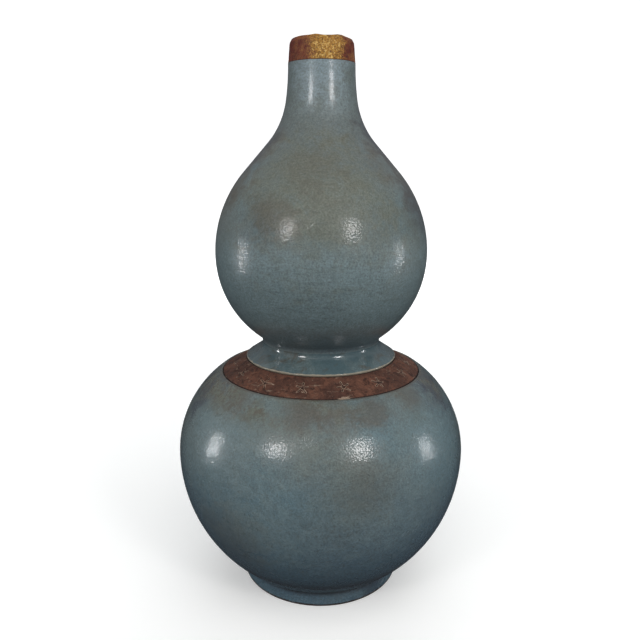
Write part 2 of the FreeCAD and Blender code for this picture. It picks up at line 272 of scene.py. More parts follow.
def lowerShoulderOutline():
    lapRadius = m.lowerRadius - f.wall / 2
    lapTop = m.lowerHeight + f.lap + f.slip
    innerArc = f.lowerDomeArc - f.wall
    outR, outZ = m.bandOut
    seatFoot = m.lowerHeight + math.sqrt(innerArc ** 2 - (m.seatRadius - m.domeCentre) ** 2)
    lapInner = m.domeCentre + math.sqrt(innerArc ** 2 - (f.lap + f.slip) ** 2)
    points = [(lapRadius, m.lowerHeight), (m.lowerRadius, m.lowerHeight)]
    lip = f.channelLip
    startShare, bendShare = f.channelLipShares
    lipFoot = m.bandEdgeRadius + lip * startShare
    arcTo(points, lipFoot, m.domeHeight(lipFoot), f.lowerDomeArc, "right", steps.outside)
    arcTo(points, m.bandEdgeRadius - lip * outR, m.bandEdgeHeight - lip * outZ,
          lip * bendShare, "right", steps.channelLip)
    lineTo(points, m.bandEdgeRadius - m.channel * outR,
           m.bandEdgeHeight - m.channel * outZ, steps.channel)
    lineTo(points, m.collarEdgeRadius - m.channel * outR, m.ledgeHeight, steps.bore)
    points += [(m.seatRadius, m.ledgeHeight), (m.seatRadius, seatFoot)]
    arcTo(points, lapInner, lapTop, innerArc, "left", steps.inside)
    return points + [(lapRadius, lapTop)]


def collarOutline():
    outR, outZ = m.bandOut
    seat = m.seatRadius - f.slip
    inner = m.waistRadius - f.wall
    lapRadius = m.waistRadius - f.wall / 2 - f.slip
    lapTop = m.waistHeight + f.waistLap
    spigotFoot = m.ledgeHeight - f.collarSpigot
    lip = f.collarLip
    edgeFoot = (m.collarEdgeRadius - lip * outR, m.collarEdgeHeight - lip * outZ)
    slope = rad(f.collarSlope)
    points = [(seat, m.ledgeHeight), (m.collarEdgeRadius - m.channel * outR, m.ledgeHeight)]
    lineTo(points, edgeFoot[0], edgeFoot[1], steps.edge)
    arcTo(points, m.collarEdgeRadius - lip * math.cos(slope),
          m.collarEdgeHeight + lip * math.sin(slope), lip * f.collarLipShare, "right",
          steps.collarLip)
    lineTo(points, m.collarRootRadius, m.collarRootHeight, steps.cone)
    arcTo(points, m.waistRadius, m.waistHeight, f.waistFillet, "left", steps.round)
    points += [(lapRadius, m.waistHeight), (lapRadius, lapTop), (inner, lapTop)]
    lineTo(points, inner, spigotFoot + f.collarRound, steps.bore)
    arcTo(points, inner + f.collarRound, spigotFoot, f.collarRound, "left", steps.wall)
    return points + [(seat, spigotFoot)]


def upperBowlOutline():
    lapRadius = m.waistRadius - f.wall / 2
    lapTop = m.waistHeight + f.waistLap + f.slip
    inner = m.waistRadius - f.wall
    innerArc = f.upperBowlArc - f.wall
    throatFoot = m.upperHeight - math.sqrt(innerArc ** 2 - (inner - m.upperBowlCentre) ** 2)
    girthLap = m.upperRadius - f.wall / 2 - f.slip
    girthTop = m.upperHeight + f.lap
    points = [(lapRadius, m.waistHeight), (m.waistRadius, m.waistHeight)]
    arcTo(points, m.rootRadius, m.rootHeight, f.waistFillet, "left", steps.round)
    arcTo(points, m.upperRadius, m.upperHeight, f.upperBowlArc, "right", steps.outside)
    points += [(girthLap, m.upperHeight), (girthLap, girthTop), (m.upperRadius - f.wall, girthTop),
               (m.upperRadius - f.wall, m.upperHeight)]
    arcTo(points, inner, throatFoot, innerArc, "left", steps.inside)
    lineTo(points, inner, lapTop, steps.bore)
    return points + [(lapRadius, lapTop)]


def upperShoulderOutline():
    d = rad(f.domeSlope)
    across, up = f.wall * math.cos(d), f.wall * math.sin(d)
    lapRadius = m.upperRadius - f.wall / 2
    lapTop = m.upperHeight + f.lap + f.slip
    innerArc = f.upperDomeArc - f.wall
    seat = m.neckRootRadius - f.neckSeat
    seatFoot = m.neckRootHeight - up - (seat - (m.neckRootRadius - across)) / math.tan(d)
    lapInner = m.upperDomeCentre + math.sqrt(innerArc ** 2 - (f.lap + f.slip) ** 2)
    points = [(lapRadius, m.upperHeight), (m.upperRadius, m.upperHeight)]
    arcTo(points, m.domeEndRadius, m.domeEndHeight, f.upperDomeArc, "right", steps.outside)
    lineTo(points, m.neckRootRadius, m.neckRootHeight, steps.outside)
    points += [(seat, m.neckRootHeight), (seat, seatFoot)]
    lineTo(points, m.domeEndRadius - across, m.domeEndHeight - up, steps.inside)
    arcTo(points, lapInner, lapTop, innerArc, "left", steps.inside)
    return points + [(lapRadius, lapTop)]


def neckOutline():
    seat = m.neckRootRadius - f.neckSeat - f.slip
    spigotInner = seat - f.neckSpigotWall
    spigotFoot = m.neckRootHeight - f.neckSpigot
    cover = f.cuffThickness + f.bedThickness
    lipHeight = m.mouthHeight - cover
    skirt = m.mouthHeight - f.cuffSkirt
    reach = f.boreRadius + f.neckInnerArc - spigotInner
    boreFoot = spigotFoot + math.sqrt(f.neckInnerArc ** 2 - reach ** 2)
    points = [(seat, m.neckRootHeight), (m.neckRootRadius, m.neckRootHeight)]
    arcTo(points, m.flareRadius, m.flareHeight, f.neckArc, "left", steps.wall)
    arcTo(points, m.neckRadius, m.cuffFootHeight, f.throatArc, "left", steps.wall)
    points += [(m.neckRadius - cover, m.cuffFootHeight), (f.cuffLipRadius - cover, lipHeight),
               (f.boreRadius + cover, lipHeight), (f.boreRadius + cover, skirt), (f.boreRadius, skirt)]
    lineTo(points, f.boreRadius, boreFoot, steps.bore)
    arcTo(points, spigotInner, spigotFoot, f.neckInnerArc, "right", steps.bore)
    return points + [(seat, spigotFoot)]


def cuffOutline():
    t, r = f.cuffThickness, f.cuffRound
    skirt = m.mouthHeight - f.cuffSkirt
    lean = math.atan2(m.neckRadius - f.cuffLipRadius, m.mouthHeight - m.cuffFootHeight)
    touch = r * math.tan(rad(45) - lean / 2)
    lipSide = (f.cuffLipRadius + touch * math.sin(lean), m.mouthHeight - touch * math.cos(lean))
    points = [(m.neckRadius - t, m.cuffFootHeight), (m.neckRadius, m.cuffFootHeight)]
    lineTo(points, lipSide[0], lipSide[1], steps.round)
    arcTo(points, f.cuffLipRadius - touch, m.mouthHeight, r, "right", steps.cuffCorner)
    lineTo(points, f.boreRadius + r, m.mouthHeight, steps.edge)
    arcTo(points, f.boreRadius, m.mouthHeight - r, r, "right", steps.round)
    lineTo(points, f.boreRadius, skirt, steps.wall)
    return points + [(f.boreRadius + t, skirt), (f.boreRadius + t, m.mouthHeight - t),
                     (f.cuffLipRadius - t, m.mouthHeight - t)]


# Turning an outline into a mesh

# Fixed sets of (waves around, radians up per metre, phase, weight), from a seeded draw.
def waves(seed, count, lowest, highest):
    draw = np.random.default_rng(seed)
    rows = []
    for _ in range(count):
        rows.append((int(draw.integers(lowest, highest)), float(draw.uniform(-60, 60)),
                     float(draw.uniform(0, 2 * math.pi)), float(draw.uniform(0.5, 1.0))))
    return rows


swells = waves(throwing["seed"], throwing["swells"], 1, 5)


# How far the clay lies inside the true form at an angle and a height, always positive.
def strayed(theta, radius, height):
    total = sum(w[3] for w in swells)
    swell = sum(w[3] * np.sin(w[0] * theta + w[1] * height + w[2]) for w in swells) / total
    ring = np.sin(2 * math.pi * height / throwing["ringPitch"] + theta
                  + throwing["ringWander"] * np.sin(2 * theta + throwing["ringWanderRise"] * height))
    oval = 1 + np.sin(2 * theta + throwing["ovalTurn"])
    return (throwing["swellDepth"] * (1 + swell) / 2
            + throwing["ringDepth"] * (1 + ring) / 2
            + throwing["ovalShare"] * radius * oval / 2)


# Puts an object with the given data into the scene.
def addObject(name, data):
    thing = bpy.data.objects.new(name, data)
    bpy.context.scene.collection.objects.link(thing)
    return thing


def smoothPiece(name, places, faces):
    mesh = bpy.data.meshes.new(name)
    mesh.from_pydata(places, [], faces)
    mesh.update()
    mesh.polygons.foreach_set("use_smooth", [True] * len(mesh.polygons))
    return addObject(name, mesh)


# A closed mesh turned from the outline. relief changes the grid of places before the build.
# An outline that starts and ends on the axis closes there with single points.
def latheMesh(name, outline, relief=None, segments=None):
    count = segments or throwing["segments"]
    onAxis = outline[0][0] == 0.0
    ringPoints = outline[1:-1] if onAxis else outline
    rows = len(ringPoints)
    theta = np.arange(count) * (2 * math.pi / count)
    radius = np.array([p[0] for p in ringPoints])[:, None] * np.ones(count)[None, :]
    height = np.array([p[1] for p in ringPoints])[:, None] * np.ones(count)[None, :]
    angle = np.ones(rows)[:, None] * theta[None, :]
    if relief:
        radius, height = relief(angle, radius, height)
    radius = radius - strayed(angle, radius, height)
    places = np.stack([radius * np.sin(angle), -radius * np.cos(angle), height], -1).reshape(-1, 3)
    index = np.arange(rows * count).reshape(rows, count)
    after = np.roll(index, -1, 1)
    lower, upper = index[:-1], index[1:]
    lowerNext, upperNext = after[:-1], after[1:]
    quads = np.stack([lower, lowerNext, upperNext, upper], -1).reshape(-1, 4)
    if not onAxis:
        closing = np.stack([index[-1], after[-1], after[0], index[0]], -1)
        quads = np.concatenate([quads, closing])
    faces = [tuple(q) for q in quads.tolist()]
    if onAxis:
        first, last = len(places), len(places) + 1
        places = np.concatenate([places, [[0, 0, outline[0][1]], [0, 0, outline[-1][1]]]])
        for i in range(count):
            faces.append((first, int(after[0][i]), int(index[0][i])))
            faces.append((last, int(index[-1][i]), int(after[-1][i])))
    piece = smoothPiece(name, places.tolist(), faces)
    piece.data.set_sharp_from_angle(angle=rad(throwing["sharpAngle"]))
    return piece


# Puts a finished piece in the place of its CAD node.
def placePiece(piece, node, material):
    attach(piece, "root")
    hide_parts(node)
    piece.data.materials.clear()
    piece.data.materials.append(material)


# Materials

# Short words for building the nodes of a material or a world.
class Graph:
    def __init__(self, owner, place):
        self.owner = owner
        owner.use_nodes = True
        self.tree = owner.node_tree
        self.place = self.add("TexCoord").outputs[place]

    def add(self, kind, **settings):
        node = self.tree.nodes.new("ShaderNode" + kind)
        for key, value in settings.items():
            setattr(node, key, value)
        return node

    def fill(self, node, **numbers):
        for name, number in numbers.items():
            node.inputs[name].default_value = number

    def join(self, source, target):
        self.tree.links.new(source, target)

    def give(self, socket, value):
        if hasattr(value, "is_linked"):
            self.join(value, socket)
        else:
            socket.default_value = value

    # Numbers and colours go on the shader's own socket, a node's output is joined to it.
    def set(self, name, value):
        self.give(self.shader.inputs[name], value)

    def stretched(self, x, y, z):
        node = self.add("Mapping")
        self.join(self.place, node.inputs["Vector"])
        self.fill(node, Scale=(x, y, z))
        return node.outputs["Vector"]

    def noise(self, scale, detail=3.0, roughness=0.55, distortion=0.0, vector=None):
        node = self.add("TexNoise")
        self.join(vector or self.place, node.inputs["Vector"])
        self.fill(node, Scale=scale, Detail=detail, Roughness=roughness, Distortion=distortion)
        return node.outputs["Fac"]

    def cells(self, scale):
        node = self.add("TexVoronoi")
        self.join(self.place, node.inputs["Vector"])
        self.fill(node, Scale=scale)
        return node.outputs["Distance"]

    def axis(self, letter):
        node = self.add("SeparateXYZ")
        self.join(self.place, node.inputs[0])
        return node.outputs[letter]

    def math(self, operation, first, second=0.0):
        node = self.add("Math", operation=operation)
        self.give(node.inputs[0], first)
        self.give(node.inputs[1], second)
        return node.outputs[0]

    def times(self, first, second):
        return self.math("MULTIPLY", first, second)

    def plus(self, first, second):
        return self.math("ADD", first, second)

    # The two values, each times its share, added up.
    def mixed(self, first, firstShare, second, secondShare):
        return self.plus(self.times(first, firstShare), self.times(second, secondShare))

    # Maps value from low..high to start..end, held at both ends.
    def ramp(self, value, low, high, start=0.0, end=1.0, smooth=True):
        node = self.add("MapRange")
        node.interpolation_type = "SMOOTHSTEP" if smooth else "LINEAR"
        self.join(value, node.inputs["Value"])
        self.fill(node, **{"From Min": low, "From Max": high, "To Min": start, "To Max": end})
        return node.outputs["Result"]

    # One between full and fade, and nothing outside low..high.
    def hump(self, value, low, full, fade, high):
        return self.times(self.ramp(value, low, full), self.ramp(value, fade, high, 1.0, 0.0))

    def blend(self, share, first, second, mode="MIX"):
        node = self.add("Mix", data_type="RGBA", blend_type=mode)
        self.give(node.inputs["Factor"], share)
        self.give(node.inputs[6], first)
        self.give(node.inputs[7], second)
        return node.outputs[2]

    # Lays a colour over the ground where the mask is.
    def lay(self, mask, colour):
        self.ground = self.blend(mask, self.ground, colour)

    def bump(self, height, strength, distance, normal=None):
        node = self.add("Bump")
        self.fill(node, Strength=strength, Distance=distance)
        self.join(height, node.inputs["Height"])
        if normal:
            self.join(normal, node.inputs["Normal"])
        return node.outputs["Normal"]


# A new material whose shader the graph fills in.
def newFinish(name):
    g = Graph(bpy.data.materials.new(name), "Object")
    g.shader = g.tree.nodes["Principled BSDF"]
    return g


# Glaze: colours are linear, sizes in metres or in features per metre
glaze = {
    "teal": (0.098, 0.158, 0.178, 1.0),
    "light": (0.164, 0.220, 0.228, 1.0),
    "grey": (0.130, 0.157, 0.151, 1.0),
    "deep": (0.095, 0.156, 0.202, 1.0),
    "pale": (0.205, 0.262, 0.282, 1.0),
    "olive": (0.122, 0.132, 0.102, 1.0),
    # smoky stain, also laid as painted shade at the sides
    "smokeAndShade": (0.080, 0.068, 0.052, 1.0),
    # dark pooled glaze, also laid as painted shade in the creases, round the neck's root and at the sides
    "poolAndShade": (0.041, 0.050, 0.066, 1.0),
    "collarDeep": (0.056, 0.094, 0.108, 1.0),
    "thinEdge": (0.40, 0.34, 0.25, 1.0),
    "bareRim": (0.045, 0.030, 0.024, 1.0),
    "cloud": 11.0,
    "speckle": 780.0,
    "pit": 780.0,
    "pitDepth": 0.10 * mm,
    "dullness": 0.16,              # added roughness on olive and smoky patches
    "patchRag": 2.8,               # how far a patch's border wanders, of its reach
    "patchEdge": (1.1, 0.15),      # where a patch starts and where it is full, of its reach
    "edgeRag": 1.2 * mm,           # how far the thin and bare edges wander
    "thinReach": 0.7 * mm,         # pale thin glaze over the collar's lower edge
    "brinkReach": (-1.5 * mm, -0.5 * mm),  # smoky edge beside the band, from its lower edge
    "bareReach": (2.6 * mm, 1.5 * mm),     # bare rim under the foot
}
# Roughness of the glaze, share and roughness of its melted skin, and how deep the pits are
skins = {
    "body": ((0.21, 0.30), (0.55, 0.070), 0.9),
    "upper": ((0.28, 0.39), (0.46, 0.060), 0.9),
    "neck": ((0.28, 0.39), (0.40, 0.12), 0.35),
    "collar": ((0.13, 0.20), (0.40, 0.05), 0.10),
}
# Heights in metres: a start and an end, or low, full, fade and high
zones = {
    "deep": (0.150, 0.05),
    "neckGrey": (0.315, 0.345),
    # painted shade round the neck's root
    "neckRootShade": (0.302, 0.318, 0.340, 0.360),
    "upperLight": (0.196, 0.226, 0.254, 0.276),
    "bandStain": (-22 * mm, -7 * mm, -2 * mm, 3 * mm),  # from the band's lower edge
    "streaks": (0.195, 0.212, 0.245, 0.270),
    "footCrease": (0.006, 0.012, 0.018, 0.036),
    "footSmoke": (0.008, 0.014, 0.022, 0.040),
    "waistCrease": (0.187, 0.191, 0.196, 0.212),
}
# Patches of another tone: colour, strength, reach and place in millimetres
glazePatches = (
    # Lighter patches on the front of both gourds and the neck: painted light where the lamps fall
    ("light", 0.70, 46, (52, -58, 232)),
    ("light", 0.55, 36, (-48, -56, 222)),
    ("light", 0.50, 44, (-10, -72, 238)),
    ("light", 0.50, 60, (-74, -66, 130)),
    ("light", 0.35, 50, (72, -70, 120)),
    ("light", 0.35, 55, (-20, -104, 85)),
    ("pale", 0.95, 36, (0, -26, 380)),
    ("light", 0.60, 40, (-36, -82, 92)),
    ("light", 0.50, 36, (36, -84, 88)),
    ("olive", 0.85, 70, (4, -67, 288)),
    ("olive", 0.60, 50, (-20, -50, 306)),
    ("olive", 0.50, 40, (58, -52, 262)),
    ("olive", 0.28, 40, (22, -100, 128)),
    ("olive", 0.25, 40, (-20, -85, 153)),
    ("olive", 0.70, 80, (50, 60, 270)),
    ("olive", 0.55, 70, (-60, 75, 120)),
    ("smokeAndShade", 0.46, 27, (-34, -61, 282)),
    # Dark patches at the left and right sides, towards the outline: painted shade
    ("smokeAndShade", 0.75, 30, (-58, -14, 301)),
    ("smokeAndShade", 0.80, 34, (58, -10, 303)),
    ("smokeAndShade", 0.75, 28, (-38, -6, 322)),
    ("smokeAndShade", 0.85, 32, (38, -4, 325)),
    ("poolAndShade", 0.55, 32, (66, -20, 288)),
    ("poolAndShade", 0.80, 24, (45, -4, 319)),
    ("poolAndShade", 0.80, 22, (32, -4, 337)),
    ("poolAndShade", 0.65, 24, (-45, -2, 319)),
    ("poolAndShade", 0.50, 22, (-32, -2, 337)),
    ("smokeAndShade", 0.70, 16, (62, -9, 173)),
    ("poolAndShade", 0.40, 14, (-65, -4, 172)),
    ("poolAndShade", 0.60, 20, (40, -48, 5)),
    ("smokeAndShade", 0.28, 30, (-4, -47, 309)),
    ("smokeAndShade", 0.30, 26, (44, -30, 312)),
    ("smokeAndShade", 0.75, 16, (-12, -80, 160)),
    ("smokeAndShade", 0.80, 18, (10, -81, 159)),
    ("smokeAndShade", 0.70, 20, (32, -76, 160)),
    ("smokeAndShade", 0.60, 18, (60, -52, 162)),
    ("smokeAndShade", 0.50, 18, (-54, -56, 163)),
    # Dark patches at the sides under the band: painted shade
    ("poolAndShade", 0.95, 30, (79, -24, 160)),
    ("poolAndShade", 0.95, 30, (-80, -22, 159)),
    ("smokeAndShade", 0.25, 24, (30, -99, 118)),
    ("smokeAndShade", 0.35, 40, (-60, -78, 70)),
    ("smokeAndShade", 0.50, 40, (-30, 70, 290)),
    ("smokeAndShade", 0.50, 45, (70, 50, 140)),
)


# Grey-green glaze: cool ground, soft olive and smoky patches, fine speckle and pitting.
def glazeMaterial(name, skin):
    roughRange, coat, pitShare = skins[skin]
    g = newFinish(name)
    z = g.axis("Z")
    cloud = g.noise(glaze["cloud"], 2.5, 0.5, 0.3)
    wisp = g.noise(46.0, 5.0, 0.66, 0.8, g.stretched(1.0, 1.0, 1.5))
    speckle = g.noise(glaze["speckle"], 3.0, 0.65)
    fleck = g.noise(300.0, 4.0, 0.7)
    streak = g.noise(62.0, 5.0, 0.76, 1.6, g.stretched(1.0, 1.0, 8.0))
    pits = g.cells(glaze["pit"])

    g.ground = g.blend(g.ramp(cloud, 0.32, 0.66), glaze["teal"], glaze["grey"])
    g.lay(g.ramp(z, *zones["deep"], 0.0, 0.80), glaze["deep"])
    g.lay(g.ramp(z, *zones["neckGrey"], 0.0, 0.85), glaze["grey"])
    # Painted shade in a ring round the neck's root
    g.lay(g.times(g.hump(z, *zones["neckRootShade"]), 0.20), glaze["poolAndShade"])

    # Patches with borders that the glaze has blurred. Some are painted light on the front and painted
    # shade at the sides
    border = g.mixed(wisp, 0.55, g.noise(130.0, 5.0, 0.7), 0.45)
    wander = g.math("SUBTRACT", border, 0.5)
    startsAt, fullAt = glaze["patchEdge"]
    dull = 0.0
    for tone, strength, across, place in glazePatches:
        reach = across * mm
        away = g.add("VectorMath", operation="DISTANCE")
        g.join(g.place, away.inputs[0])
        away.inputs[1].default_value = [side * mm for side in place]
        distance = g.plus(away.outputs["Value"], g.times(wander, reach * glaze["patchRag"]))
        cover = g.ramp(distance, reach * startsAt, reach * fullAt, 0.0, strength)
        g.lay(cover, glaze[tone])
        if tone in ("olive", "smokeAndShade"):
            dull = g.math("MAXIMUM", dull, cover)
    loose = g.mixed(wisp, 0.6, g.noise(17.0, 3.0, 0.55), 0.4)
    g.lay(g.ramp(loose, 0.50, 0.72, 0.0, 0.26), glaze["olive"])
    ring = g.times(g.hump(z, *zones["upperLight"]), g.ramp(wisp, 0.30, 0.62, 0.40, 0.95))
    g.lay(ring, glaze["light"])

    # Stain that ran down from the band
    stainHeights = [m.bandEdgeHeight + rise for rise in zones["bandStain"]]
    stain = g.times(g.hump(z, *stainHeights), g.ramp(g.noise(24.0, 3.0, 0.6, 0.4), 0.40, 0.58, 0.12, 1.0))
    g.lay(g.times(stain, g.ramp(border, 0.42, 0.58, 0.15, 0.90)), glaze["olive"])
    g.lay(g.times(stain, g.ramp(fleck, 0.44, 0.58, 0.0, 0.75)), glaze["smokeAndShade"])
    g.lay(g.ramp(fleck, 0.56, 0.74, 0.0, 0.30), glaze["smokeAndShade"])

    # Fine level streaks, strongest low on the upper gourd
    streakZone = g.plus(g.times(g.hump(z, *zones["streaks"]), 0.18), 0.12)
    g.lay(g.times(g.ramp(streak, 0.46, 0.66), streakZone), glaze["poolAndShade"])

    # Thick glaze lies dark in the crease above the foot and at the waist, darkened further with painted
    # shade where the creases lie in shade
    creasePoolAndShade = g.mixed(g.hump(z, *zones["footCrease"]), 0.62, g.hump(z, *zones["waistCrease"]), 0.50)
    g.lay(creasePoolAndShade, glaze["poolAndShade"])
    g.lay(g.times(g.hump(z, *zones["footSmoke"]), 0.50), glaze["smokeAndShade"])

    value = g.times(g.ramp(speckle, 0.32, 0.68, 0.78, 1.23, False),
                    g.ramp(fleck, 0.30, 0.70, 0.88, 1.12, False))
    value = g.times(value, g.ramp(pits, 0.05, 0.45, 0.82, 1.04))
    g.ground = g.blend(1.0, g.ground, value, "MULTIPLY")
    warm = g.noise(620.0, 2.0, 0.6)
    g.lay(g.ramp(warm, 0.51, 0.68, 0.0, 0.28), glaze["smokeAndShade"])

    grain = g.noise(glaze["pit"] * 1.3, 1.5, 0.5)
    surface = g.mixed(pits, 0.85, grain, 0.45)
    normal = g.bump(surface, pitShare, glaze["pitDepth"])
    normal = g.bump(g.noise(70.0, 2.0, 0.5), 0.20, 0.20 * mm, normal)
    g.set("Normal", normal)
    rough = g.ramp(g.noise(60.0, 4.0, 0.6), 0.3, 0.7, *roughRange)
    g.set("Roughness", g.plus(rough, g.times(dull, glaze["dullness"])))
    g.set("Coat Weight", coat[0])
    g.set("Coat Roughness", coat[1])
    g.set("Coat Normal", normal)
    g.set("IOR", 1.5)
    g.set("Specular IOR Level", 0.5)
    g.set("Base Color", g.ground)
    return g


# Lays a colour over the glaze, from none at one height to its full share at another.
def tintEdge(g, none, full, colour, share=1.0):
    ragged = g.times(g.math("SUBTRACT", g.noise(260.0, 4.0, 0.6), 0.5), glaze["edgeRag"])
    height = g.plus(g.axis("Z"), ragged)
    g.lay(g.times(g.ramp(height, none, full), share), colour)
    g.set("Base Color", g.ground)


print("glaze")
bodyGlaze = glazeMaterial("celadonGlaze", "body").owner
upperGlaze = glazeMaterial("upperGlaze", "upper").owner
neckGlaze = glazeMaterial("neckGlaze", "neck").owner

# The collar's glaze pooled deep, and shows smoky stains
collar = glazeMaterial("collarGlaze", "collar")
collarPool = collar.ramp(collar.noise(75.0, 4.0, 0.6, 0.6), 0.36, 0.64, 0.25, 0.75)
collar.lay(collarPool, glaze["collarDeep"])
collarStain = collar.ramp(collar.noise(48.0, 5.0, 0.7, 0.9), 0.52, 0.66, 0.0, 0.65)
collar.lay(collarStain, glaze["smokeAndShade"])
tintEdge(collar, m.collarEdgeHeight + glaze["thinReach"], m.collarEdgeHeight,
         glaze["thinEdge"], 0.72)

shoulder = glazeMaterial("shoulderGlaze", "body")
tintEdge(shoulder, m.bandEdgeHeight + glaze["brinkReach"][0],
         m.bandEdgeHeight + glaze["brinkReach"][1], glaze["smokeAndShade"], 0.60)

footEnd = glazeMaterial("footGlaze", "body")
tintEdge(footEnd, *glaze["bareReach"], glaze["bareRim"])

print("glazed sections")
glazedPieces = (
    ("footRing", "foot_ring", footOutline, footEnd.owner),
    ("lowerBowl", "lower_bowl", lowerBowlOutline, bodyGlaze),
    ("lowerShoulder", "lower_shoulder", lowerShoulderOutline, shoulder.owner),
    ("waistCollar", "waist_collar", collarOutline, collar.owner),
    ("upperBowl", "upper_bowl", upperBowlOutline, upperGlaze),
    ("upperShoulder", "upper_shoulder", upperShoulderOutline, upperGlaze),
    ("neck", "neck", neckOutline, neckGlaze),
)
for pieceName, node, outline, material in glazedPieces:
    placePiece(latheMesh(pieceName, outline()), node, material)


# Unglazed band with shallow carving
band = {
    "segments": 1500,
    "rows": 84,
    "flowers": 15,
    "flowerAcross": 9.4,           # millimetres
    "strokeWidth": 1.15,
    "strokeDepth": 0.42 * mm,
    "flowerWindow": (16, 11),      # millimetres to each side, in which a flower is drawn
    "chips": 20,
    "chipDepth": 0.30 * mm,
    "bigChip": (12.5, 0.9, 3.4, 1.5, 0.1),  # degrees round, place across, length, width, lean
    "ripples": ((23, 0.31, 0.4, 0.5), (41, -0.52, 2.0, 0.35), (67, 0.83, 4.1, 0.25)),
    "rippleDepth": 0.07 * mm,
    "roundWidth": 0.6 * mm,        # worn round of the strip's edges
    "roundDepth": 0.22 * mm,
    "edgeShade": 1.1 * mm,
    "seed": 21,
    "clay": (0.074, 0.034, 0.024, 1.0),
    "dark": (0.018, 0.009, 0.008, 1.0),
    "rust": (0.128, 0.056, 0.036, 1.0),
    "pale": (0.30, 0.22, 0.16, 1.0),
}


# Distance from the points (u, v) to a straight stroke.
def strokeDistance(u, v, x0, y0, x1, y1):
    dx, dy = x1 - x0, y1 - y0
    t = np.clip(((u - x0) * dx + (v - y0) * dy) / (dx * dx + dy * dy), 0, 1)
    return np.hypot(u - x0 - t * dx, v - y0 - t * dy)


# Distance to the lines of a small blossom: an eye and five cut petals of uneven length.
def flowerDistance(u, v, draw):
    size = band["flowerAcross"] / 2 * draw.uniform(0.72, 1.10)
    turn = draw.uniform(0, 2 * math.pi)
    nearest = np.abs(np.hypot(u, v) - 0.13 * size)
    for k in range(5):
        a = turn + k * 2 * math.pi / 5
        across, along = math.cos(a), math.sin(a)
        reach = size * draw.uniform(0.78, 1.08)
        nearest = np.minimum(nearest, strokeDistance(u, v, across * 0.30 * size, along * 0.30 * size,
                                                     across * reach, along * reach))
    return nearest


# How carved and how chipped it is, from 0 to 1, at places in millimetres along and across.
def bandFields(u, v, girth, width):
    draw = np.random.default_rng(band["seed"])
    carving = np.zeros(u.shape)
    chips = np.zeros(u.shape)
    windowU, windowV = band["flowerWindow"]
    for k in range(band["flowers"]):
        atU = (k + 0.5 + draw.uniform(-0.12, 0.12)) * girth / band["flowers"]
        atV = width / 2 + draw.uniform(-1.2, 1.2)
        du = (u - atU + girth / 2) % girth - girth / 2
        dv = v - atV
        close = (np.abs(du) < windowU) & (np.abs(dv) < windowV)
        distance = flowerDistance(du[close], dv[close], draw)
        groove = np.clip(1 - distance / (band["strokeWidth"] / 2), 0, 1)
        worn = 0.72 + 0.28 * np.sin(0.9 * du[close] + 1.7 * dv[close] + k)
        carving[close] = np.maximum(carving[close], groove * worn)
    for k in range(band["chips"]):
        atU, atV = draw.uniform(0, girth), draw.uniform(0, width)
        if k > 0 and draw.uniform() < 0.5:
            atV = draw.choice([0.4, width - 0.4])
        long, wide = draw.uniform(0.5, 2.4), draw.uniform(0.3, 0.7)
        lean = draw.uniform(-0.5, 0.5)
        if k == 0:
            degrees, atV, long, wide, lean = band["bigChip"]
            atU = girth * degrees / 360
        du = (u - atU + girth / 2) % girth - girth / 2
        dv = v - atV
        along = (du * math.cos(lean) + dv * math.sin(lean)) / long
        aside = (-du * math.sin(lean) + dv * math.cos(lean)) / wide
        ragged = 1 + 0.25 * np.sin(5 * np.arctan2(aside, along) + atU)
        chips = np.maximum(chips, np.clip(1 - np.hypot(along, aside) * ragged, 0, 1) ** 0.5)
    return carving, chips


def bandMesh():
    outR, outZ = m.bandOut
    alongR, alongZ = m.bandAlong
    face, back = f.glazeStep, m.channel
    rows, count = band["rows"], band["segments"]
    usable = m.bandWidth - 2 * f.slip

    def at(across, depth):
        reach = f.slip + across * usable
        return (m.bandEdgeRadius + alongR * reach - outR * depth,
                m.bandEdgeHeight + alongZ * reach - outZ * depth)

    outline = [at(0, back)]
    outline += [at(i / (rows - 1), face) for i in range(rows)]
    outline += [at(1, back)]
    girth = 2 * math.pi * (m.bandEdgeRadius + m.collarEdgeRadius) / 2 / mm
    fields = {}

    def relief(angle, radius, height):
        across = np.zeros(angle.shape)
        across[1:-1] = np.linspace(0, 1, rows)[:, None]
        u = angle / (2 * math.pi) * girth
        v = across * usable / mm
        carving, chips = bandFields(u, v, girth, usable / mm)
        ripple = sum(w * np.sin(a * angle + b * v + c) for a, b, c, w in band["ripples"])
        depth = (band["strokeDepth"] * carving + band["chipDepth"] * chips
                 + band["rippleDepth"] * (1.1 + ripple) / 2)
        fromEdge = np.minimum(across, 1 - across) * usable
        depth = depth + band["roundDepth"] * (1 - np.clip(fromEdge / band["roundWidth"], 0, 1)) ** 2
        depth[0], depth[-1] = 0, 0
        fields["carving"], fields["chips"] = carving, chips
        fields["carving"][0] = fields["carving"][-1] = 0
        # How near the band's edges, where painted shade darkens it
        fields["edges"] = np.clip(1 - fromEdge / band["edgeShade"], 0, 1)
        return radius - outR * depth, height - outZ * depth

    piece = latheMesh("shoulderBand", outline, relief, count)
    for key, values in fields.items():
        layer = piece.data.attributes.new(key, "FLOAT", "POINT")
        layer.data.foreach_set("value", values.reshape(-1).astype(np.float32))
    return piece


